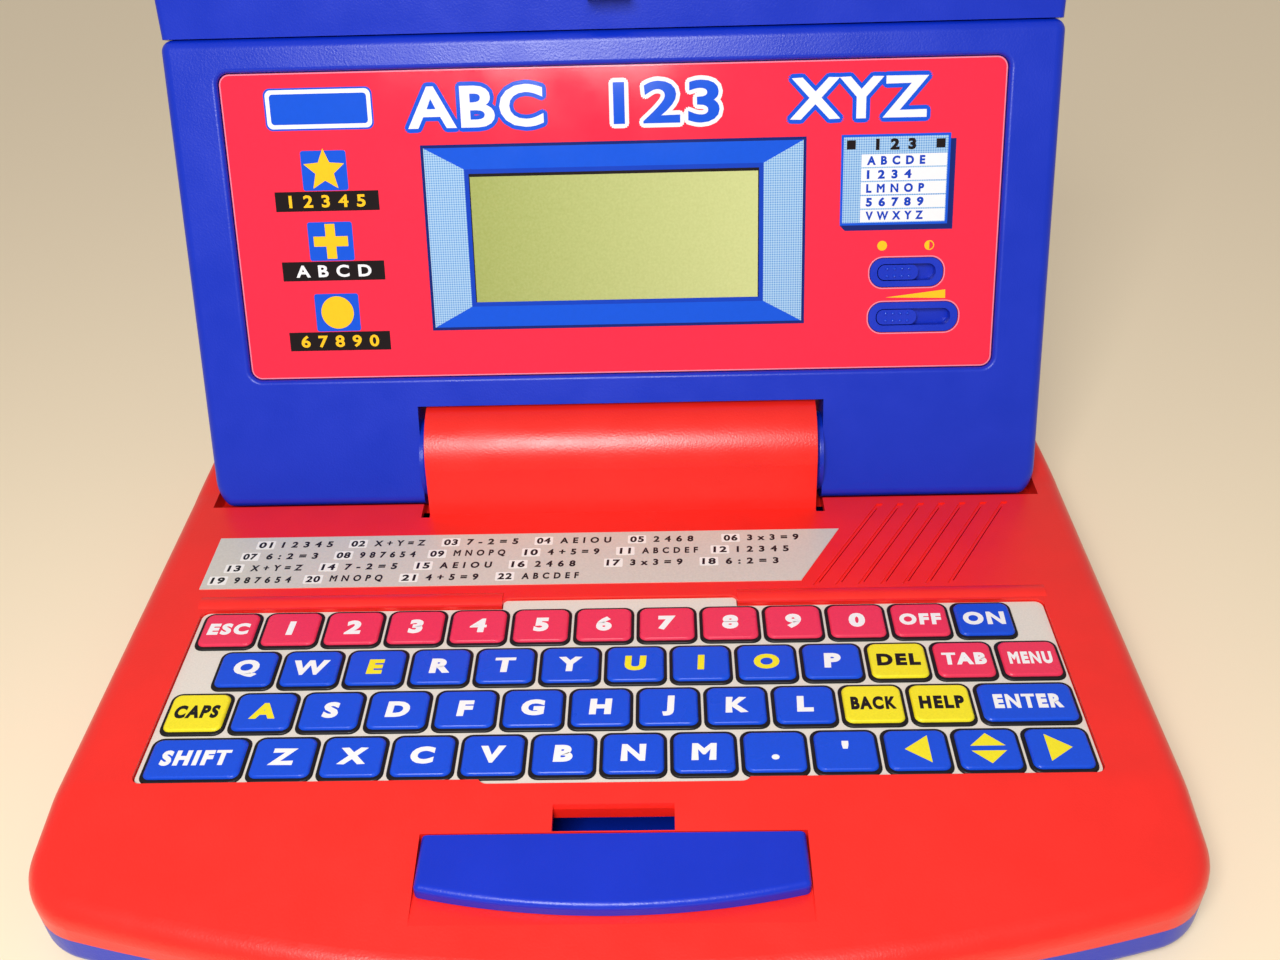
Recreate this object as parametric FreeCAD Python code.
import FreeCAD
import Part
import math
import os

# Toy learning laptop: a red base with a film keyboard, and a blue hinged lid with a small display.
# Millimetres, +Z up. X = 0 is the middle of the case, and Z = 0 is the table under the feet.
# The lid is drawn upright about its hinge axis, with its face towards -Y, and then leaned back.

# Widths, from the printed panel out to the case
panel_width = 229.1
bezel_side = 15.95
lid_margin = 10.5
lid_width = panel_width + 2 * bezel_side
base_width = lid_width + 2 * lid_margin

# Base case: plan outline and side profile
front_reach = 35.6
base_rear_y = 100.3
front_arc_radius = 500.0
front_arc_count = 24
front_corner_radius = 18.0
rear_corner_radius = 45.0
foot_height = 1.2
seam_z = 11.5
deck_z = 26.5
case_wall = 2.4
case_edge_fillet = 6.0
bottom_edge_fillet = 4.5
crease_behind_bar = 13.2
palm_slope = 9.5
palm_crease_radius = 30.0
rise_start_y = 53.3
rise_end_y = 86.3
rise_height = 13.0

# Hinge and barrel
hinge_y = 60.7
lid_closed_gap = 1.2
lid_face_offset = 8.5
lid_lean = 19.6
barrel_y = 62.9
barrel_above_deck = 11.4
barrel_radius = 17.7
barrel_length = 121.8
barrel_foot_y = 42.7
barrel_end_wall = 4.0
barrel_throat = 21.4
journal_radius = 5.0
journal_clearance = 0.06
bush_flange_radius = 12.6
bush_shank_radius = 6.0
bush_shank_clearance = 0.05
bush_shank_length = 12.0
bush_bore_radius = 3.0
bush_side_gap = 0.5
leg_slot_width = 2.7
leg_slot_front_y = 41.3

# Lid
lid_back_inset = 0.5
lid_leg_radius = 15.0
leg_corner_radius = 12.0
leg_corner_drop = 2.0
lid_seam_depth = 10.5
lid_wall = 2.2
lid_edge_fillet = 3.2
lid_corner_radius = 3.4
lid_end_height = 142.6
apron_length = 14.0
lid_step_gap = 0.12
apron_setback = 1.2
apron_bend = 11.0
apron_end_thickness = 9.0
lid_crown_length = 34.6
notch_width = 126.6
notch_height = 18.8
notch_room = 1.0
trough_clearance = 0.8
trough_height = 60.0
lid_side_clearance = 1.2
apron_edge_fillet = 2.0
hook_width = 12.0
hook_thickness = 1.0
hook_nose = 0.5
hook_nose_length = 2.6
hook_gap = 0.3

# Printed panel and display, heights measured up the lid from the hinge axis
panel_bottom = 28.1
bezel_top = 9.8
panel_corner_radius = 3.5
panel_thickness = 1.5
panel_recess = 3.0
panel_side_gap = 0.3
panel_rim_fillet = 1.3
shelf_thickness = 2.0
lcd_width = 88.0
lcd_height = 42.0
lcd_below_middle = 3.85
lcd_thickness = 2.8
lcd_gap = 0.3
lcd_frame_margin = 5.0
lcd_frame_lip = 3.0
strip_width = 2.0
board_thickness = 1.6
board_standoff = 4.1
display_board_left = -62.0
display_board_right_inset = 2.5
display_board_low_inset = 2.0
display_board_top_inset = 14.8

# Slide controls in the lid, placed from the panel's right side and bottom
knob_length = 12.0
knob_height = 4.5
knob_sink = 0.1
knob_flange_lap = 1.0
knob_flange_thickness = 0.8
knob_stem_length = 3.0
knob_stem_height = 2.0
knob_gap = 0.3
knob_dot_columns = 4
knob_dot_rows = 2
knob_dot_pitch = 2.2
knob_dot_radius = 0.4
knob_dot_height = 0.25
control_rim_height = 1.4
control_rim_gap = 0.2
oval_rounding = 0.9
contrast_inset = 26.85
contrast_rise = 29.2
contrast_travel = 5.0
contrast_window_width = 22.3
contrast_window_height = 9.0
volume_inset = 24.35
volume_rise = 15.6
volume_travel = 10.0
volume_window_width = 27.4
volume_window_height = 9.4
pot_margin = 5.0
pot_height = 8.0
pot_floor = 1.6

# Keyboard
key_pitch = 17.8
key_row_gap = 1.6
key_width = 16.4
film_rear_margin = 0.2
key_rise = 1.2
key_draft = 0.6
key_corner_radius = 2.2
wide_key_width = 25.4
keys_per_row = 13
row_start_pitches = (-6.236, -5.725, -6.23, -4.736)
recess_width = 242.0
recess_rear_y = -0.6
recess_behind_crease = 1.8
recess_corner_radius = 2.5
tab_width = 68.0
tab_rear_reach = 3.6
tab_front_reach = 1.3
film_depth = 1.0
film_thickness = 0.5
film_gap = 0.3
membrane_thickness = 0.8
recess_plate = 2.2
ridge_length = 88.4
ridge_width = 5.0
ridge_height = 0.8
ridge_centre_x = 78.2
ridge_gap = 0.8

# Deck details
label_left_inset = 16.4
label_right_gap = 9.5
label_slant = 13.7
label_rear_y = 32.2
label_front_y = 8.6
label_thickness = 0.25
grille_count = 7
grille_pitch = 6.5
grille_inset = 83.7
grille_front_y = 6.6
grille_rear_y = 44.6
grille_slant = 0.63
grille_groove_width = 2.0
grille_groove_depth = 0.5
grille_slit_width = 0.35
grille_bridge = 1.6

# Latch
latch_slot_width = 29.6
latch_slot_behind_bar = 7.3
latch_slot_length = 6.6
latch_slot_bevel = 1.2
latch_slot_skirt = 2.0
latch_pocket_z = 20.6
bar_width = 92.0
bar_under_lid = 3.0
bar_side_length = 14.7
bar_length = 20.1
bar_top_z = 24.4
bar_gap = 0.4
bar_edge_fillet = 1.6
latch_travel = 3.0
stem_width = 22.0
stem_depth = 4.0
stem_setback = 6.0
tongue_reach = 0.8
tongue_thickness = 2.0
stem_drop = 7.0
spring_radius = 3.0
spring_wire = 0.8
spring_length = 10.0
spring_seat_width = 14.0
spring_seat_thickness = 2.0

# Inside the base
screw_radius = 1.45
screw_head_radius = 2.8
screw_head_height = 1.8
screw_clearance = 0.05
screw_cross_size = (3.9, 1.1)
post_radius = 4.4
counterbore_gap = 0.5
case_screw_inset = (20.0, 11.5, 41.0)
case_screw_front_inset = 28.5
case_screw_middle_y = -22.0
case_screw_rear_y = 91.0
foot_radius = 6.5
foot_inset = 29.0
foot_front_inset = 32.5
foot_rear_y = 82.0
main_board_width = 190.0
main_board_front_inset = 5.9
main_board_rear_inset = 5.4
main_board_z = 12.0
chip_sizes = ((-50.0, 34.0, 14.0, 3.6), (0.0, 34.0, 14.0, 3.6), (42.0, 18.0, 7.5, 3.2))
capacitor_x = (66.0, 78.0)
capacitor_radius = 4.0
capacitor_height = 6.0
board_post_inset = 6.0
board_post_radius = 3.0
speaker_inset = 52.0
speaker_y = 23.9
speaker_radius = 22.0
speaker_depth = 16.0
speaker_rim_width = 3.0
speaker_rim_thickness = 2.0
basket_wall = 0.8
magnet_radius = 12.0
magnet_height = 7.0
throat_radius = 9.6
cone_thickness = 0.6
cone_hang = 0.5
cone_back_gap = 2.5
surround_width = 2.0
dust_cap_radius = 6.6
dust_cap_height = 1.0
cell_radius = 7.1
cell_length = 50.3
cell_cap_length = 1.2
cell_cap_radius = 2.7
cell_gap = 0.3
cell_row_gap = 1.4
contact_thickness = 0.5
contact_width = 10.0
battery_wall = 1.8
door_width = 114.0
door_front_y = 66.0
door_gap = 0.35
door_flange = 2.5
door_flange_thickness = 1.2
door_rail_width = 2.0
door_end_height = 8.0
door_ridge_count = 5
door_ridge_pitch = 3.0
door_ridge_size = (24.0, 1.2, 0.5)
door_ridge_inset = 8.0
lid_screw_inset = 8.0
lid_screw_low = 12.0
lid_screw_top_inset = 8.6
lid_screw_grip = 5.0

# Values that follow from those above
bar_rear_y = hinge_y - lid_end_height + bar_under_lid
bar_corner_y = bar_rear_y - bar_side_length
bar_front_y = bar_rear_y - bar_length
latch_slot_rear_y = bar_rear_y + latch_slot_behind_bar
base_front_y = bar_rear_y - front_reach
palm_crease_y = bar_rear_y + crease_behind_bar
recess_front_y = palm_crease_y + recess_behind_crease
row_pitch = (recess_rear_y - recess_front_y - film_rear_margin) / len(row_start_pitches)
first_row_y = recess_rear_y - film_rear_margin - row_pitch / 2
key_depth = row_pitch - key_row_gap
main_board_front_y = recess_front_y + main_board_front_inset
main_board_depth = recess_rear_y - main_board_rear_inset - main_board_front_y
foot_front_y = base_front_y + foot_front_inset
case_screw_y = (base_front_y + case_screw_front_inset, case_screw_middle_y, case_screw_rear_y)
hinge_z = deck_z + lid_closed_gap + lid_face_offset
barrel_z = deck_z + barrel_above_deck
floor_z = foot_height + case_wall
film_z = deck_z - film_depth
recess_z = film_z - film_thickness - membrane_thickness
lid_face_y = -lid_face_offset
lid_seam_y = lid_face_y + lid_seam_depth
pocket_y = lid_face_y + panel_recess
shelf_y = pocket_y + shelf_thickness
display_board_y = shelf_y + board_standoff
knob_flange_y = shelf_y + knob_gap
pot_face_y = knob_flange_y + knob_flange_thickness + knob_gap
lid_step_height = lid_end_height - apron_length
panel_top = lid_step_height - bezel_top
panel_height = panel_top - panel_bottom
lcd_centre = (panel_bottom + panel_top) / 2 - lcd_below_middle
display_board_right = panel_width / 2 - display_board_right_inset
display_board_bottom = panel_bottom + display_board_low_inset
display_board_top = panel_top - display_board_top_inset
contrast = (panel_width / 2 - contrast_inset, panel_bottom + contrast_rise, contrast_travel)
volume = (panel_width / 2 - volume_inset, panel_bottom + volume_rise, volume_travel)
trough_radius = lid_leg_radius + trough_clearance
far = 400.0
over = 1.0
join = 0.5
near = 1e-3


def box(x, y, z):
    """Block between two values on each axis."""
    corner = FreeCAD.Vector(x[0], y[0], z[0])
    return Part.makeBox(x[1] - x[0], y[1] - y[0], z[1] - z[0], corner)


def rod(radius, start, along, length):
    return Part.makeCylinder(radius, length, FreeCAD.Vector(*start), FreeCAD.Vector(*along))


def post(radius, x, y, z):
    """Upright cylinder between two heights."""
    return rod(radius, (x, y, z[0]), (0, 0, 1), z[1] - z[0])


def fuse(shapes):
    shapes = list(shapes)
    return shapes[0].fuse(shapes[1:]).removeSplitter()


def path_face(place, start, *steps):
    """Face from a start point, lines (a point each) and arcs (a middle and an end point each)."""
    edges = []
    here = start
    for step in steps:
        arc = isinstance(step[0], tuple)
        end = step[1] if arc else step
        if arc:
            curve = Part.Arc(place(here), place(step[0]), place(end))
        else:
            curve = Part.LineSegment(place(here), place(end))
        edges.append(curve.toShape())
        here = end
    if math.dist(here, start) > 1e-6:
        edges.append(Part.LineSegment(place(here), place(start)).toShape())
    return Part.Face(Part.Wire(edges))


def side_prism(x, start, *steps):
    """Solid of a side profile, points as (y, z), between two values of X."""
    face = path_face(lambda p: FreeCAD.Vector(x[0], p[0], p[1]), start, *steps)
    return face.extrude(FreeCAD.Vector(x[1] - x[0], 0, 0))


def plan_prism(z, start, *steps):
    """Solid of a plan outline, points as (x, y), between two heights."""
    face = path_face(lambda p: FreeCAD.Vector(p[0], p[1], z[0]), start, *steps)
    return face.extrude(FreeCAD.Vector(0, 0, z[1] - z[0]))


def edges_where(shape, test):
    return [edge for edge in shape.Edges if test(edge)]


def runs_along(edge, axis):
    """True for a straight edge along one axis, given as 0, 1 or 2."""
    if edge.Curve.TypeId != "Part::GeomLine":
        return False
    ends = edge.Vertexes[1].Point - edge.Vertexes[0].Point
    return abs(abs(ends[axis]) - ends.Length) < 1e-6


def middle(edge):
    return edge.valueAt((edge.FirstParameter + edge.LastParameter) / 2)


def rounded_plate(x, y, z, radius):
    """Plate lying flat, with its upright edges rounded."""
    plate = box(x, y, z)
    return plate.makeFillet(radius, edges_where(plate, lambda edge: runs_along(edge, 2)))


def upright_plate(x, y, z, radius):
    """Plate standing in the lid's plane, with its corners rounded."""
    plate = box(x, y, z)
    return plate.makeFillet(radius, edges_where(plate, lambda edge: runs_along(edge, 1)))


def mirror_x(shape):
    return shape.mirror(FreeCAD.Vector(0, 0, 0), FreeCAD.Vector(1, 0, 0))


def both_sides(shape):
    return [shape, mirror_x(shape)]


def on_lid(shape):
    """A piece drawn upright about the hinge axis, leaned back to where the lid stands open."""
    placed = shape.copy()
    placed.rotate(FreeCAD.Vector(0, 0, 0), FreeCAD.Vector(1, 0, 0), -lid_lean)
    placed.translate(FreeCAD.Vector(0, hinge_y, hinge_z))
    return placed


# Base case outline and shell

def plan_outline(inset, z):
    """The case seen from above: straight sides and rear, bowed front, rounded corners."""
    half = base_width / 2 - inset
    rear = base_rear_y - inset
    radius = front_arc_radius - inset
    centre_y = base_front_y + front_arc_radius
    span = math.asin(half / radius)

    def bow(step):
        angle = span * (2 * step / front_arc_count - 1)
        return (radius * math.sin(angle), centre_y - radius * math.cos(angle))

    arcs = [(bow(step + 0.5), bow(step + 1)) for step in range(front_arc_count)]
    block = plan_prism(z, bow(0), *arcs, (half, rear), (-half, rear))

    def corners(test):
        return edges_where(block, lambda edge: runs_along(edge, 2) and test(middle(edge)))

    front = corners(lambda point: abs(point.x) > half - near and point.y < 0)
    block = block.makeFillet(front_corner_radius - inset, front)
    return block.makeFillet(rear_corner_radius - inset, corners(lambda point: point.y > rear - near))


def palm_z(y):
    """Height of the deck or of the palm rest sloping down in front of it."""
    return deck_z - max(0.0, palm_crease_y - y) * math.tan(math.radians(palm_slope))


def case_block(inset, bottom):
    """Upper case as a solid: side profile cut to the plan outline, with its top edge rounded."""
    top = deck_z - inset
    ahead = base_front_y - over
    slope = math.radians(palm_slope)
    bend = palm_crease_radius * math.tan(slope / 2)
    bend_start = (palm_crease_y - bend * math.cos(slope), top - bend * math.sin(slope))
    bend_mid = (palm_crease_y + bend - palm_crease_radius * math.sin(slope / 2),
                top - palm_crease_radius * (1 - math.cos(slope / 2)))
    rise_mid = ((rise_start_y + rise_end_y) / 2, top + rise_height / 2)
    half_angle = math.atan(rise_height / (rise_end_y - rise_start_y))
    rise_radius = (rise_end_y - rise_start_y) / 2 / math.sin(2 * half_angle)
    lower_arc = (rise_start_y + rise_radius * math.sin(half_angle),
                 top + rise_radius * (1 - math.cos(half_angle)))
    upper_arc = (rise_end_y - rise_radius * math.sin(half_angle),
                 top + rise_height - rise_radius * (1 - math.cos(half_angle)))
    rear = base_rear_y + over
    block = side_prism(
        (-base_width, base_width),
        (ahead, bottom),
        (ahead, palm_z(ahead) - inset),
        bend_start,
        (bend_mid, (palm_crease_y + bend, top)),
        (rise_start_y, top),
        (lower_arc, rise_mid),
        (upper_arc, (rise_end_y, top + rise_height)),
        (rear, top + rise_height),
        (rear, bottom))
    outline = plan_outline(inset, (bottom - over, top + rise_height + over))
    block = block.common(outline)
    ground = plan_outline(inset, (0.0, over))
    wall = Part.Wire(Part.__sortEdges__(edges_where(ground, lambda edge: edge.BoundBox.ZMax < near)))

    def on_top_edge(edge):
        point = middle(edge)
        if point.z < bottom + over or runs_along(edge, 2):
            return False
        return wall.distToShape(Part.Vertex(point.x, point.y, 0.0))[0] < near

    return block.makeFillet(case_edge_fillet - inset, edges_where(block, on_top_edge))


def lid_sweep(extra):
    """Room that the lid's legs turn in, and that the lid's back leans into when it is open."""
    start = barrel_length / 2
    width = lid_width / 2 + lid_side_clearance + extra - start
    drum = rod(trough_radius + extra, (start, 0, 0), (1, 0, 0), width)
    back = lid_leg_radius + trough_clearance + extra
    slab = box((start, start + width), (lid_face_y, back), (0.0, trough_height))
    return [on_lid(side) for shape in (drum, slab) for side in both_sides(shape)]


def barrel_solid():
    """Barrel with its flat front running down to the deck, filled back to the raised rear."""
    half = barrel_length / 2
    drum = rod(barrel_radius, (-half, barrel_y, barrel_z), (1, 0, 0), barrel_length)
    reach = math.hypot(barrel_y - barrel_foot_y, barrel_z - deck_z)
    tangent = math.sqrt(reach ** 2 - barrel_radius ** 2)
    angle = math.atan2(barrel_z - deck_z, barrel_y - barrel_foot_y) + math.asin(barrel_radius / reach)
    touch = (barrel_foot_y + tangent * math.cos(angle), deck_z + tangent * math.sin(angle))
    low = deck_z - case_wall
    front = side_prism(
        (-half, half), (barrel_foot_y, low), (barrel_foot_y, deck_z), touch,
        (barrel_y, barrel_z), (barrel_y, low))
    back = box((-half, half), (barrel_y, rise_end_y), (low, deck_z + rise_height))
    return fuse([drum, front, back])


def barrel_room():
    """Hollow of the barrel, open to the inside of the base."""
    half = barrel_length / 2 - barrel_end_wall
    inner = barrel_radius - case_wall
    drum = rod(inner, (-half, barrel_y, barrel_z), (1, 0, 0), 2 * half)
    sides = (barrel_y - barrel_throat / 2, barrel_y + barrel_throat / 2)
    throat = box((-half, half), sides, (deck_z - 2 * case_wall, barrel_z))
    return drum.fuse(throat)


def recess_shape(extra, z):
    """Keyboard recess in plan, with its middle tabs front and rear."""
    half = recess_width / 2 + extra
    main = rounded_plate(
        (-half, half), (recess_front_y - extra, recess_rear_y + extra), z, recess_corner_radius + extra)
    tabs = rounded_plate(
        (-tab_width / 2 - extra, tab_width / 2 + extra),
        (recess_front_y - tab_front_reach - extra, recess_rear_y + tab_rear_reach + extra),
        z, recess_corner_radius)
    return main.fuse(tabs).removeSplitter()


def grille_slots():
    """Slanted grooves of the speaker grille, each with a through slit between two bridges."""
    shift = grille_slant * (grille_rear_y - grille_front_y)
    cuts = []
    for index in range(grille_count):
        x = base_width / 2 - grille_inset + index * grille_pitch
        for width, low, margin in (
                (grille_groove_width, deck_z - grille_groove_depth, 0.0),
                (grille_slit_width, deck_z - 2 * case_wall, grille_bridge)):
            y0 = grille_front_y + margin
            y1 = grille_rear_y - margin
            lean = grille_slant * margin
            cuts.append(plan_prism(
                (low, deck_z + over),
                (x + lean - width / 2, y0), (x + lean + width / 2, y0),
                (x + shift - lean + width / 2, y1), (x + shift - lean - width / 2, y1)))
    return cuts


def latch_cuts():
    """Bevelled latch slot, the flat step the bar slides on, and the slot for the bar's stem."""
    half = latch_slot_width / 2
    front = latch_slot_rear_y - latch_slot_length
    slot = box((-half, half), (front, latch_slot_rear_y), (seam_z, deck_z + over))
    bevel_z = palm_z(latch_slot_rear_y) - latch_slot_bevel
    bevel = side_prism(
        (-half, half),
        (latch_slot_rear_y - join, bevel_z),
        (latch_slot_rear_y, bevel_z),
        (latch_slot_rear_y + latch_slot_bevel, deck_z + over),
        (latch_slot_rear_y - join, deck_z + over))
    step = box(
        (-bar_width / 2 - bar_gap, bar_width / 2 + bar_gap),
        (base_front_y - over, bar_rear_y + bar_gap), (latch_pocket_z, deck_z + over))
    stem_y = bar_rear_y - stem_setback
    stem = box(
        (-stem_width / 2 - bar_gap, stem_width / 2 + bar_gap),
        (stem_y - stem_depth - latch_travel - bar_gap, stem_y + bar_gap), (seam_z, latch_pocket_z + over))
    return [slot, bevel, step, stem]


def case_posts(z, radius):
    return [post(radius, x, y, z) for x, y in case_screw_places()]


def case_screw_places():
    inward = zip(case_screw_inset, case_screw_y)
    return [(side * (base_width / 2 - inset), y) for inset, y in inward for side in (-1, 1)]


def make_upper_case():
    """Red moulded deck: shell, keyboard recess, barrel, leg troughs, grille and latch slot."""
    outer = case_block(0.0, seam_z)
    shell = outer.cut(case_block(case_wall, seam_z - over))
    plate = recess_shape(case_wall, (recess_z - recess_plate, deck_z - case_wall / 2))
    latch_floor = box(
        (-bar_width / 2 - case_wall, bar_width / 2 + case_wall),
        (base_front_y + case_edge_fillet, bar_rear_y + case_wall),
        (latch_pocket_z - case_wall, palm_z(bar_rear_y)))
    skirt_z = palm_z(latch_slot_rear_y) - case_wall - latch_slot_skirt
    skirt = box(
        (-latch_slot_width / 2, latch_slot_width / 2), (latch_slot_rear_y, latch_slot_rear_y + case_wall),
        (skirt_z, palm_z(latch_slot_rear_y) - case_wall / 2))
    walls = [shape.common(outer) for shape in lid_sweep(case_wall)]
    posts = [shape.common(outer) for shape in case_posts((seam_z, far), post_radius)]
    shell = fuse([shell, plate, skirt, latch_floor.common(outer)] + walls + posts + [barrel_solid()])
    shell = shell.cut(lid_sweep(0.0))
    half = barrel_length / 2
    slot_low = deck_z - 2 * case_wall
    leg_slot = box((half, half + leg_slot_width), (leg_slot_front_y, hinge_y), (slot_low, hinge_z))
    bore = rod(journal_radius + journal_clearance, (-half, hinge_y, hinge_z), (1, 0, 0), barrel_length)
    pilots = case_posts((seam_z - over, slot_low), screw_radius + screw_clearance)
    recess = recess_shape(0.0, (recess_z, deck_z + over))
    cuts = [barrel_room(), bore, recess] + both_sides(leg_slot) + pilots
    shell = shell.cut(cuts + grille_slots() + latch_cuts())
    inner = ridge_centre_x - ridge_length / 2
    ridge_y = recess_rear_y + ridge_gap
    ridge = side_prism(
        (inner, inner + ridge_length),
        (ridge_y, deck_z - join), (ridge_y, deck_z),
        ((ridge_y + ridge_width / 2, deck_z + ridge_height), (ridge_y + ridge_width, deck_z)),
        (ridge_y + ridge_width, deck_z - join))
    return fuse([shell] + both_sides(ridge))


# Lower case and what it carries

def door_span(gap):
    return (-door_width / 2 + gap, door_width / 2 - gap)


def make_lower_case():
    """Blue tray: rounded underside, battery opening with door rails, board posts, screw columns."""
    outer = plan_outline(0.0, (foot_height, seam_z))
    low = edges_where(outer, lambda edge: abs(edge.BoundBox.ZMax - foot_height) < near)
    outer = outer.makeFillet(bottom_edge_fillet, low)
    tray = outer.cut(plan_outline(case_wall, (floor_z, seam_z + over)))
    columns = case_posts((floor_z - join, seam_z), post_radius)
    board_posts = []
    board_mid = main_board_front_y + main_board_depth / 2
    reach = main_board_depth / 2 - board_post_inset
    for x in (board_post_inset - main_board_width / 2, main_board_width / 2 - board_post_inset):
        for y in (board_mid - reach, board_mid + reach):
            board_posts.append(post(board_post_radius, x, y, (floor_z - join, main_board_z)))
    seat_y = spring_face_y() - spring_length
    seat = box(
        (-spring_seat_width / 2, spring_seat_width / 2), (seat_y - spring_seat_thickness, seat_y),
        (floor_z - join, spring_axis_z() + spring_radius))
    rail_low = floor_z + door_gap + door_flange_thickness + door_gap
    rail_x = door_width / 2 + door_flange + door_gap
    rear = base_rear_y - case_wall
    rail_top = rail_low + battery_wall
    rail_end = rail_x + door_rail_width
    rail = fuse([
        box((rail_x, rail_end), (door_front_y, rear), (floor_z - join, rail_top)),
        box((door_width / 2, rail_end), (door_front_y, rear), (rail_low, rail_top))])
    wall_top = cell_centre_z() + cell_radius
    end_x = cell_length + contact_thickness + cell_gap
    end_wall = box((end_x, end_x + battery_wall), (door_front_y, rear), (rail_low, wall_top))
    end_foot = box((end_x, rail_end), (door_front_y, rear), (rail_low, rail_top))
    front = (door_front_y - battery_wall - door_gap, door_front_y - door_gap)
    wall_end = end_x + battery_wall
    front_wall = box((-wall_end, wall_end), front, (floor_z - join, wall_top))
    front_foot = box((-rail_end, rail_end), front, (floor_z - join, rail_top))
    solids = [tray, front_wall, front_foot, seat] + columns + board_posts
    for shape in (rail, end_wall, end_foot):
        solids += both_sides(shape)
    case = fuse(solids)
    opening = box(door_span(0.0), (door_front_y - door_gap, base_rear_y + over), (0.0, floor_z + near))
    rear_notch = box(
        (-rail_x, rail_x), (rear - near, base_rear_y + over), (0.0, foot_height + door_end_height + door_gap))
    holes = case_posts((0.0, far), screw_radius + screw_clearance)
    sinks = case_posts((0.0, floor_z + screw_head_height), screw_head_radius + counterbore_gap)
    return case.cut([opening, rear_notch] + holes + sinks)


def cell_centre_z():
    return floor_z + door_gap + door_flange_thickness + cell_gap + cell_radius


def cell_rows():
    """Y of the two battery rows, centred between the front wall and the rear of the case."""
    mid = (door_front_y + base_rear_y - case_wall) / 2
    half = cell_radius + cell_row_gap / 2
    return (mid - half, mid + half)


def make_batteries():
    """Four AA cells in two rows, two in line, each with its raised positive cap."""
    cells = []
    for row, y in enumerate(cell_rows()):
        way = 1 if row == 0 else -1
        for index in (-1, 0):
            start = index * cell_length if way > 0 else -index * cell_length
            along = (way, 0, 0)
            body = rod(cell_radius, (start, y, cell_centre_z()), along, cell_length - cell_cap_length)
            cap_start = start + way * (cell_length - cell_cap_length)
            cap = rod(cell_cap_radius, (cap_start, y, cell_centre_z()), along, cell_cap_length)
            cells.append(body.fuse(cap).removeSplitter())
    return Part.Compound(cells)


def make_battery_contacts():
    """Sprung plates at the ends of the rows; one joins the two rows on the left."""
    reach = cell_length
    height = (cell_centre_z() - contact_width / 2, cell_centre_z() + contact_width / 2)
    rows = cell_rows()
    half = contact_width / 2
    right = [box((reach, reach + contact_thickness), (y - half, y + half), height) for y in rows]
    left = box((-reach - contact_thickness, -reach), (rows[0] - half, rows[1] + half), height)
    return Part.Compound(right + [left])


def make_battery_door():
    """Sliding cover: plate flush with the underside, side flanges on the floor, and a rear end wall."""
    rear = base_rear_y - case_wall
    plate = box(door_span(door_gap), (door_front_y, base_rear_y), (foot_height, floor_z + door_gap))
    flange_x = door_width / 2 + door_flange - door_gap
    flange = box(
        (-flange_x, flange_x), (door_front_y, rear - door_gap),
        (floor_z + door_gap, floor_z + door_gap + door_flange_thickness))
    end_x = door_width / 2 + door_flange
    end = box((-end_x, end_x), (rear, base_rear_y), (foot_height, foot_height + door_end_height))
    length, width, depth = door_ridge_size
    grooves = []
    for index in range(door_ridge_count):
        y = base_rear_y - door_ridge_inset - door_ridge_pitch * index
        grooves.append(box((-length / 2, length / 2), (y, y + width), (0.0, foot_height + depth)))
    return fuse([plate, flange, end]).cut(grooves)


def make_rubber_feet():
    feet = []
    foot_x = base_width / 2 - foot_inset
    for x in (-foot_x, foot_x):
        for y in (foot_front_y, foot_rear_y):
            foot = post(foot_radius, x, y, (0.0, foot_height))
            rim = edges_where(foot, lambda edge: edge.BoundBox.ZMax < near)
            feet.append(foot.makeFillet(foot_height / 3, rim))
    return Part.Compound(feet)


def screw(length):
    """Pan-head screw standing on its head, with a cross recess."""
    head = post(screw_head_radius, 0, 0, (0.0, screw_head_height))
    shank = post(screw_radius, 0, 0, (0.0, length))
    body = head.fuse(shank).removeSplitter()
    arm = screw_cross_size[0] / 2
    slot = screw_cross_size[1] / 2
    along = box((-arm, arm), (-slot, slot), (-over, screw_head_height / 2))
    across = box((-slot, slot), (-arm, arm), (-over, screw_head_height / 2))
    return body.cut([along, across])


def make_case_screws():
    screws = []
    for x, y in case_screw_places():
        one = screw(deck_z - 3 * case_wall - floor_z)
        one.translate(FreeCAD.Vector(x, y, floor_z))
        screws.append(one)
    return Part.Compound(screws)


def make_main_board():
    half = main_board_width / 2
    return rounded_plate(
        (-half, half), (main_board_front_y, main_board_front_y + main_board_depth),
        (main_board_z, main_board_z + board_thickness), board_post_inset / 2)


def make_board_chips():
    """Processor blob, speech and memory chips, and the supply capacitors."""
    top = main_board_z + board_thickness
    mid = main_board_front_y + main_board_depth / 2
    chips = []
    for x, width, depth, tall in chip_sizes:
        sides = (mid - depth / 2, mid + depth / 2)
        chips.append(box((x - width / 2, x + width / 2), sides, (top, top + tall)))
    for x in capacitor_x:
        chips.append(post(capacitor_radius, x, mid, (top, top + capacitor_height)))
    return Part.Compound(chips)


# Loudspeaker

def revolved(points):
    """Turned solid about the speaker's axis, points as (radius, height)."""
    corners = [FreeCAD.Vector(radius, 0, height) for radius, height in points]
    wire = Part.makePolygon(corners + corners[:1])
    turned = Part.Face(wire).revolve(FreeCAD.Vector(0, 0, 0), FreeCAD.Vector(0, 0, 1), 360)
    turned.translate(FreeCAD.Vector(base_width / 2 - speaker_inset, speaker_y, deck_z - case_wall))
    return turned


def make_speaker_frame():
    """Pressed steel basket with its flat rim under the deck, and the magnet behind it."""
    rim = -speaker_rim_thickness
    wall = basket_wall
    inner = speaker_radius - speaker_rim_width
    bottom = -speaker_depth
    back = bottom + magnet_height
    return revolved([
        (inner, 0), (speaker_radius, 0), (speaker_radius, rim), (inner + wall, rim),
        (throat_radius + wall, back), (magnet_radius, back), (magnet_radius, bottom), (0, bottom),
        (0, back - wall), (throat_radius, back - wall), (throat_radius, back), (inner, rim)])


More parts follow.
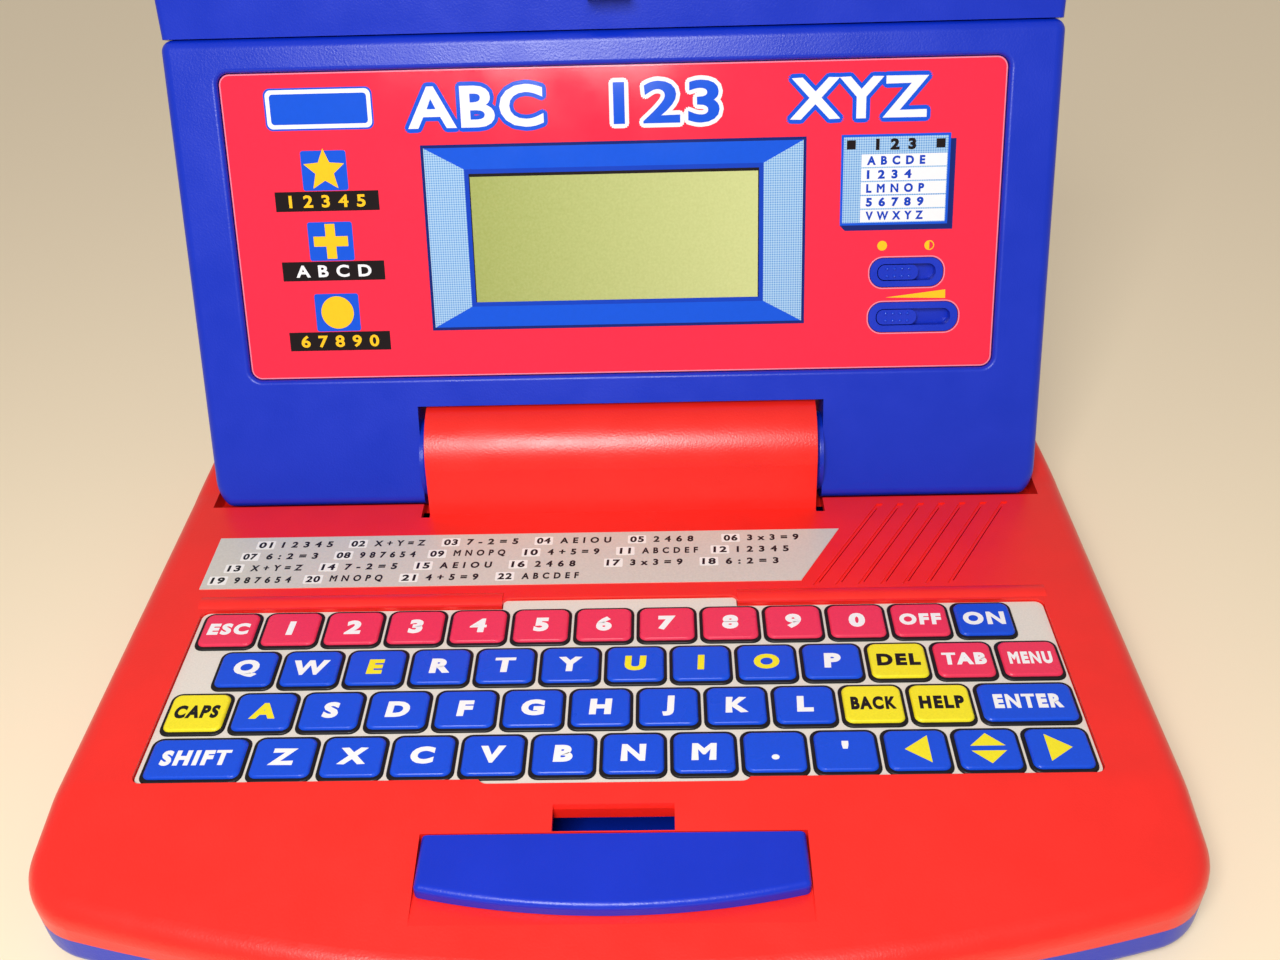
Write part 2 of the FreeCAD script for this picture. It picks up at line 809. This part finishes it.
def make_speaker_cone():
    """Paper cone with its dust cap, hung inside the basket's rim."""
    outer = speaker_radius - speaker_rim_width
    inner = outer - surround_width
    top = -cone_hang
    low = top - cone_thickness
    back = magnet_height + cone_back_gap - speaker_depth
    return revolved([
        (outer, top), (outer, low), (inner, low), (dust_cap_radius, back - cone_thickness),
        (0, back - cone_thickness + dust_cap_height), (0, back + dust_cap_height),
        (dust_cap_radius, back), (inner, top)])


# Keyboard

def key_places():
    """Centre and width of every key: thirteen to a row, with one wide key in the third and fourth."""
    keys = []
    side_shift = (key_pitch + wide_key_width - key_width) / 2 + key_pitch / 2
    for row, pitches in enumerate(row_start_pitches):
        start = pitches * key_pitch
        y = first_row_y - row * row_pitch
        singles = keys_per_row if row < 2 else keys_per_row - 1
        keys += [(start + index * key_pitch, y, key_width) for index in range(singles)]
        if row == 2:
            keys.append((start + (singles - 1) * key_pitch + side_shift, y, wide_key_width))
        if row == 3:
            keys.append((start - side_shift, y, wide_key_width))
    return keys


def key_pillow(x, y, width):
    """One raised key: rounded rectangle that narrows a little to its top."""
    rings = []
    for z, draft in ((film_z - film_thickness / 2, 0.0), (film_z + key_rise, key_draft)):
        across = (x - width / 2 + draft, x + width / 2 - draft)
        along = (y - key_depth / 2 + draft, y + key_depth / 2 - draft)
        plate = rounded_plate(across, along, (z, z + over), key_corner_radius)
        low = edges_where(plate, lambda edge: edge.BoundBox.ZMax < z + near)
        rings.append(Part.Wire(Part.__sortEdges__(low)))
    return Part.makeLoft(rings, True, True)


def make_keyboard_overlay():
    """Embossed film: a thin sheet with all its keys, lying on the membrane."""
    film = recess_shape(-film_gap, (film_z - film_thickness, film_z))
    return fuse([film] + [key_pillow(*key) for key in key_places()])


def make_keyboard_membrane():
    half = recess_width / 2 - film_gap
    return rounded_plate(
        (-half, half), (recess_front_y + film_gap, recess_rear_y - film_gap),
        (recess_z, recess_z + membrane_thickness), recess_corner_radius)


def make_activity_label():
    """Foil sticker with a slanted right end."""
    left = label_left_inset - base_width / 2
    right = base_width / 2 - grille_inset + label_right_gap
    return plan_prism(
        (deck_z, deck_z + label_thickness),
        (left, label_front_y), (right - label_slant, label_front_y),
        (right, label_rear_y), (left, label_rear_y))


# Latch

def latch_tongue_z():
    """Top of the tongue, just under the step that the bar slides on."""
    return latch_pocket_z - case_wall - bar_gap


def make_latch_bar():
    """Blue bar with a bowed front edge, its stem through the case, and the tongue in the latch slot."""
    half = bar_width / 2
    bar = plan_prism(
        (latch_pocket_z + bar_gap / 2, bar_top_z),
        (-half, bar_rear_y), (-half, bar_corner_y), ((0, bar_front_y), (half, bar_corner_y)),
        (half, bar_rear_y))

    def shows(edge):
        on_top = edge.BoundBox.ZMin > bar_top_z - near
        return (on_top or runs_along(edge, 2)) and middle(edge).y < bar_rear_y - near

    bar = bar.makeFillet(bar_edge_fillet, edges_where(bar, shows))
    stem_y = bar_rear_y - stem_setback
    low = latch_tongue_z()
    stem = box(
        (-stem_width / 2, stem_width / 2), (stem_y - stem_depth, stem_y),
        (low - stem_drop, latch_pocket_z + bar_gap))
    tongue = box(
        (-latch_slot_width / 2 + bar_gap, latch_slot_width / 2 - bar_gap),
        (stem_y - stem_depth, latch_slot_rear_y - latch_slot_length + tongue_reach),
        (low - tongue_thickness, low))
    return fuse([bar, stem, tongue])


def spring_face_y():
    """Where the latch spring bears on the front of the stem."""
    return bar_rear_y - stem_setback - stem_depth


def spring_axis_z():
    """Height of the latch spring, in the middle of the stem's lower half."""
    return latch_tongue_z() - stem_drop + spring_radius + bar_gap


def make_latch_spring():
    """Return spring between the stem and its seat in the lower case, drawn as a plain sleeve."""
    start = (0, spring_face_y() - spring_length, spring_axis_z())
    sleeve = rod(spring_radius, start, (0, 1, 0), spring_length)
    return sleeve.cut(rod(spring_radius - spring_wire, start, (0, 1, 0), spring_length))


# Hinge bushes

def make_hinge_bush():
    """Right-hand bush: flange disc beside the leg, journal in the barrel, shank in the leg."""
    face = notch_width / 2
    flange_start = barrel_length / 2 + bush_side_gap
    start = barrel_length / 2 - barrel_end_wall
    flange = rod(bush_flange_radius, (flange_start, 0, 0), (1, 0, 0), face - flange_start)
    rim = edges_where(flange, lambda edge: edge.BoundBox.XMax < flange_start + near)
    flange = flange.makeFillet((face - flange_start) / 2, rim)
    journal = rod(journal_radius, (start, 0, 0), (1, 0, 0), face - start)
    shank = rod(bush_shank_radius, (face, 0, 0), (1, 0, 0), bush_shank_length)
    bore = rod(bush_bore_radius, (start - over, 0, 0), (1, 0, 0), far)
    return fuse([flange, journal, shank]).cut(bore)


# Lid shells

def notch_cut(extra, room):
    """Gap at the foot of the lid that the barrel stands in."""
    half = notch_width / 2 + extra
    reach = math.hypot(notch_height, lid_face_offset)
    drum = rod(max(reach, barrel_clear_radius()) + room + extra, (-half, 0, 0), (1, 0, 0), 2 * half)
    skin = box((-half, half), (lid_face_y - over, lid_face_y + lid_wall), (notch_height + extra, far))
    below = box((-half, half), (-far, far), (-far, extra))
    return [drum.cut(skin), below]


def barrel_clear_radius():
    """Farthest reach of the barrel from the hinge axis."""
    return barrel_radius + math.hypot(barrel_y - hinge_y, barrel_z - hinge_z)


def face_bottom(radius):
    """Height at which the rounded foot of a leg meets the lid's face."""
    return -math.sqrt(radius ** 2 - lid_face_offset ** 2)


def seam_bottom(radius):
    return -math.sqrt(radius ** 2 - lid_seam_y ** 2)


def leg_arc_middle(radius, start, end):
    """Middle of an arc about the hinge axis, points as (y, z)."""
    angle = (math.atan2(start[1], start[0]) + math.atan2(end[1], end[0])) / 2
    return (radius * math.cos(angle), radius * math.sin(angle))


def lid_outline(half, inset):
    """The lid seen from the front, down to the rounded outer corners of its legs."""
    low = inset - lid_leg_radius - leg_corner_drop
    plate = box((inset - half, half - inset), (-far, far), (low, far))
    corners = edges_where(plate, lambda edge: runs_along(edge, 1) and middle(edge).z < 0)
    return plate.makeFillet(leg_corner_radius - inset, corners)


def bush_bore():
    """Hole through both inner leg walls for the shanks of the bushes."""
    half = notch_width / 2 + lid_wall + near
    return rod(bush_shank_radius + bush_shank_clearance, (-half, 0, 0), (1, 0, 0), 2 * half)


def lid_screw_posts(y, radius):
    return [rod(radius, (x, y[0], z), (0, 1, 0), y[1] - y[0]) for x, z in lid_screw_places()]


def lid_screw_places():
    """Three screws up each side of the lid."""
    side = lid_width / 2 - lid_screw_inset
    top = lid_step_height - lid_screw_top_inset
    return [(x, z) for x in (-side, side) for z in (lid_screw_low, (lid_screw_low + top) / 2, top)]


def control_ovals(inset, y):
    """Oval around each slide control: the opening in the panel, or the rim that fills it."""
    ovals = []
    for (x, z, travel), width, height in (
            (contrast, contrast_window_width, contrast_window_height),
            (volume, volume_window_width, volume_window_height)):
        half_x = width / 2 - inset
        half_z = height / 2 - inset
        ovals.append(upright_plate(
            (x - half_x, x + half_x), y, (z - half_z, z + half_z), half_z * oval_rounding))
    return ovals


def control_grooves():
    """Oval opening that each knob slides in."""
    cuts = []
    top = pocket_y - control_rim_height - over
    for x, z, travel in (contrast, volume):
        half = (knob_length + travel) / 2 + knob_gap
        tall = knob_height / 2 + knob_gap
        cuts.append(upright_plate(
            (x - half, x + half), (top, shelf_y + over), (z - tall, z + tall), tall * oval_rounding))
    return cuts


def make_lid_front():
    """Blue bezel: rounded face, rimmed pocket for the panel with a shelf behind it, and the legs."""
    half = lid_width / 2
    foot = face_bottom(lid_leg_radius)
    low = seam_bottom(lid_leg_radius)
    foot_mid = leg_arc_middle(lid_leg_radius, (lid_face_y, foot), (lid_seam_y, low))
    block = side_prism(
        (-half, half), (lid_face_y, foot), (foot_mid, (lid_seam_y, low)),
        (lid_seam_y, lid_step_height), (lid_face_y, lid_step_height))
    block = block.common(lid_outline(half, 0.0))
    corners = edges_where(block, lambda edge: runs_along(edge, 1) and middle(edge).z > 0)
    block = block.makeFillet(lid_corner_radius, corners)
    rim = edges_where(block, lambda edge: edge.BoundBox.YMax < lid_face_y + near)
    legs = edges_where(block, lambda edge: edge.BoundBox.ZMax < foot + near and not runs_along(edge, 0))
    block = block.makeFillet(lid_edge_fillet, rim + legs)
    inner = half - lid_wall
    depth = (lid_face_y + lid_wall, lid_seam_y + over)
    room = box((-inner, inner), depth, (0.0, lid_step_height - lid_wall))
    foot_room = rod(lid_leg_radius - lid_wall, (-inner, 0, 0), (1, 0, 0), 2 * inner)
    room = room.fuse(foot_room.common(box((-half, half), depth, (-far, 0.0))))
    room = room.common(lid_outline(half, lid_wall)).cut(notch_cut(lid_wall, notch_room))
    pocket_x = panel_width / 2 + panel_side_gap
    shelf = box(
        (-pocket_x - lid_wall, pocket_x + lid_wall), (lid_face_y + lid_wall / 2, shelf_y),
        (panel_bottom - panel_side_gap - lid_wall, panel_top + panel_side_gap + lid_wall))
    posts = lid_screw_posts((lid_face_y + lid_wall / 2, lid_seam_y), post_radius)
    stands = []
    tall = display_board_y - shelf_y + join
    for x in (display_board_left + board_post_inset, display_board_right - board_post_inset):
        for z in (display_board_bottom + board_post_inset, display_board_top - board_post_inset):
            stands.append(rod(board_post_radius, (x, shelf_y - join, z), (0, 1, 0), tall))
    front = fuse([block.cut(room), shelf] + posts + stands)
    front = front.cut(notch_cut(0.0, notch_room))
    pocket = upright_plate(
        (-pocket_x, pocket_x), (lid_face_y - over, pocket_y),
        (panel_bottom - panel_side_gap, panel_top + panel_side_gap), panel_corner_radius)
    front = front.cut(pocket)

    def on_pocket_rim(edge):
        point = middle(edge)
        on_face = edge.BoundBox.YMax < lid_face_y + near and edge.BoundBox.YMin > lid_face_y - near
        height = abs(point.z - (panel_bottom + panel_top) / 2) - panel_height / 2 - panel_side_gap
        return on_face and abs(point.x) < pocket_x + near and height < near

    front = front.makeFillet(panel_rim_fillet, edges_where(front, on_pocket_rim))
    rims = control_ovals(control_rim_gap, (pocket_y - control_rim_height, pocket_y + join))
    front = fuse([front] + rims)
    window = lcd_box(lcd_gap, (pocket_y - over, shelf_y + over))
    pilots = lid_screw_posts((pocket_y, lid_seam_y + over), screw_radius + screw_clearance)
    return front.cut([window, bush_bore()] + control_grooves() + pilots)


def lid_back_profile(inset, x):
    """Side profile of the back cover, with its crown at the top and the bent apron."""
    back = lid_leg_radius - inset
    low = seam_bottom(back)
    start = lid_end_height - lid_crown_length
    end = lid_end_height - inset
    step = lid_step_height + lid_step_gap + inset
    apron_face = lid_face_y + apron_setback + inset
    bend = (lid_end_height - lid_step_height) * math.tan(math.radians(apron_bend))
    tip = apron_face - bend
    tip_back = tip + apron_end_thickness - 2 * inset
    drop = back - tip_back
    radius = (drop ** 2 + (end - start) ** 2) / (2 * drop)
    span = math.asin((end - start) / radius) / 2
    crown_mid = (back - radius * (1 - math.cos(span)), start + radius * math.sin(span))
    leg_mid = leg_arc_middle(back, (lid_seam_y, low), (back, 0.0))
    return side_prism(
        x, (lid_seam_y, low), (leg_mid, (back, 0.0)), (back, start), (crown_mid, (tip_back, end)),
        (tip, end), (apron_face, step), (lid_seam_y, step))


def catch_hook():
    """Catch on the apron, which stands in the latch slot just behind the tongue when the lid is shut."""
    nose = hinge_y - latch_slot_rear_y + latch_slot_length - tongue_reach - hook_gap
    outer = nose - hook_nose
    inner = outer - hook_thickness
    tip = latch_tongue_z() - tongue_thickness - hinge_z
    shoulder = tip + hook_nose_length
    root = lid_face_y + apron_setback + lid_wall / 2
    return side_prism(
        (-hook_width / 2, hook_width / 2), (root, inner), (root, outer), (shoulder, outer), (shoulder, nose),
        (tip, outer - hook_nose), (tip, inner))


def make_lid_back():
    """Blue back cover: crowned shell with the bent apron at its free end and the catch under it."""
    half = lid_width / 2 - lid_back_inset
    block = lid_back_profile(0.0, (-half, half)).common(lid_outline(half, 0.0))
    step = lid_step_height + lid_step_gap

    def on_side(edge):
        point = middle(edge)
        inside = point.y < lid_seam_y + near and point.z < step + near
        return abs(abs(point.x) - half) < near and not inside

    tips = edges_where(block, lambda edge: runs_along(edge, 0) and middle(edge).z > lid_end_height - near)
    block = block.makeFillet(apron_edge_fillet, edges_where(block, on_side) + tips)
    room = lid_back_profile(lid_wall, (-half, half)).common(lid_outline(half, lid_wall))
    room = room.cut(notch_cut(lid_wall, notch_room))
    posts = [shape.common(block) for shape in lid_screw_posts((lid_seam_y, lid_leg_radius), post_radius)]
    back = fuse([block.cut(room), catch_hook()] + posts)
    holes = lid_screw_posts((0.0, far), screw_radius + screw_clearance)
    sinks = lid_screw_posts((lid_seam_y + lid_wall, far), screw_head_radius + counterbore_gap)
    return back.cut(notch_cut(0.0, notch_room) + [bush_bore()] + holes + sinks)


def make_lid_screws():
    screws = []
    for x, z in lid_screw_places():
        one = screw(screw_head_height + lid_wall + lid_screw_grip)
        one.rotate(FreeCAD.Vector(0, 0, 0), FreeCAD.Vector(1, 0, 0), 90)
        one.translate(FreeCAD.Vector(x, lid_seam_y + lid_wall + screw_head_height, z))
        screws.append(one)
    return Part.Compound(screws)


# Display

def make_display_panel():
    """Clear printed window in the bezel's pocket, with an oval opening over each control."""
    panel = upright_plate(
        (-panel_width / 2, panel_width / 2), (pocket_y - panel_thickness, pocket_y),
        (panel_bottom, panel_top), panel_corner_radius - panel_side_gap)
    return panel.cut(control_ovals(0.0, (-far, far)))


def lcd_box(grow, y):
    return box(
        (-lcd_width / 2 - grow, lcd_width / 2 + grow), y,
        (lcd_centre - lcd_height / 2 - grow, lcd_centre + lcd_height / 2 + grow))


def make_lcd_glass():
    return lcd_box(0.0, (pocket_y, pocket_y + lcd_thickness))


def make_lcd_frame():
    """Plastic frame that clamps the glass between the shelf and the board."""
    outside = lcd_box(lcd_frame_margin, (shelf_y, display_board_y))
    step = lcd_box(lcd_gap, (shelf_y - over, pocket_y + lcd_thickness))
    through = lcd_box(-lcd_frame_lip, (shelf_y - over, display_board_y + over))
    slots = [strip_box(lcd_gap, side) for side in (-1, 1)]
    return outside.cut([step, through] + slots)


def strip_box(grow, side):
    """Place of one elastomer strip, along the top or the bottom of the glass."""
    z = lcd_centre + side * (lcd_height / 2 - strip_width)
    half = lcd_width / 2 - lcd_frame_lip
    return box(
        (-half - grow, half + grow), (pocket_y + lcd_thickness, display_board_y),
        (z - strip_width / 2 - grow, z + strip_width / 2 + grow))


def make_elastomer_strips():
    return Part.Compound([strip_box(0.0, side) for side in (-1, 1)])


def make_display_board():
    return upright_plate(
        (display_board_left, display_board_right), (display_board_y, display_board_y + board_thickness),
        (display_board_bottom, display_board_top), board_post_inset / 2)


def make_pot(x, z, travel):
    """Slide potentiometer on the display board, with a slot for the knob's stem."""
    half = (knob_stem_length + travel) / 2 + pot_margin
    tall = pot_height / 2
    body = box((x - half, x + half), (pot_face_y, display_board_y), (z - tall, z + tall))
    half = (knob_stem_length + travel) / 2 + knob_gap
    tall = knob_stem_height / 2 + knob_gap
    return body.cut(box((x - half, x + half), (shelf_y, display_board_y - pot_floor), (z - tall, z + tall)))


def make_knob(x, z, travel):
    """Slide knob at the left end of its opening: grip dots, a flange that shuts the opening, a stem."""
    centre = x - travel / 2
    half = knob_length / 2
    tall = knob_height / 2
    face = pocket_y - control_rim_height + knob_sink
    body = upright_plate(
        (centre - half, centre + half), (face, knob_flange_y + join), (z - tall, z + tall),
        tall * oval_rounding)
    lap_x = half + travel + knob_flange_lap
    lap_z = tall + knob_flange_lap
    flange = box(
        (centre - lap_x, centre + lap_x), (knob_flange_y, knob_flange_y + knob_flange_thickness),
        (z - lap_z, z + lap_z))
    stem = box(
        (centre - knob_stem_length / 2, centre + knob_stem_length / 2),
        (knob_flange_y + join, display_board_y - pot_floor - knob_gap),
        (z - knob_stem_height / 2, z + knob_stem_height / 2))
    dots = []
    for column in range(knob_dot_columns):
        dot_x = centre + (column - (knob_dot_columns - 1) / 2) * knob_dot_pitch
        for row in range(knob_dot_rows):
            dot_z = z + (row - (knob_dot_rows - 1) / 2) * knob_dot_pitch
            dots.append(rod(
                knob_dot_radius, (dot_x, face - knob_dot_height, dot_z), (0, 1, 0), knob_dot_height + join))
    return fuse([body, flange, stem] + dots)


def build():
    bush = make_hinge_bush()
    base = {
        "upper_case": make_upper_case(),
        "lower_case": make_lower_case(),
        "keyboard_overlay": make_keyboard_overlay(),
        "keyboard_membrane": make_keyboard_membrane(),
        "activity_label": make_activity_label(),
        "main_board": make_main_board(),
        "board_chips": make_board_chips(),
        "speaker_frame": make_speaker_frame(),
        "speaker_cone": make_speaker_cone(),
        "batteries": make_batteries(),
        "battery_contacts": make_battery_contacts(),
        "battery_door": make_battery_door(),
        "rubber_feet": make_rubber_feet(),
        "case_screws": make_case_screws(),
        "latch_bar": make_latch_bar(),
        "latch_spring": make_latch_spring(),
    }
    lid = {
        "lid_front": make_lid_front(),
        "lid_back": make_lid_back(),
        "display_panel": make_display_panel(),
        "lcd_glass": make_lcd_glass(),
        "lcd_frame": make_lcd_frame(),
        "elastomer_strips": make_elastomer_strips(),
        "display_board": make_display_board(),
        "contrast_pot": make_pot(*contrast),
        "volume_pot": make_pot(*volume),
        "contrast_knob": make_knob(*contrast),
        "volume_knob": make_knob(*volume),
        "lid_screws": make_lid_screws(),
        "hinge_bush_right": bush,
        "hinge_bush_left": mirror_x(bush),
    }
    return base | {name: on_lid(shape) for name, shape in lid.items()}


os.makedirs("parts", exist_ok=True)
for name, shape in build().items():
    shape.exportStep(f"parts/{name}.step")
    bounds = shape.BoundBox
    print(f"{name}: {len(shape.Solids)} solids, {shape.Volume:.0f} mm3, valid {shape.isValid()},"
          f" y {bounds.YMin:.1f} to {bounds.YMax:.1f}, z {bounds.ZMin:.1f} to {bounds.ZMax:.1f}")
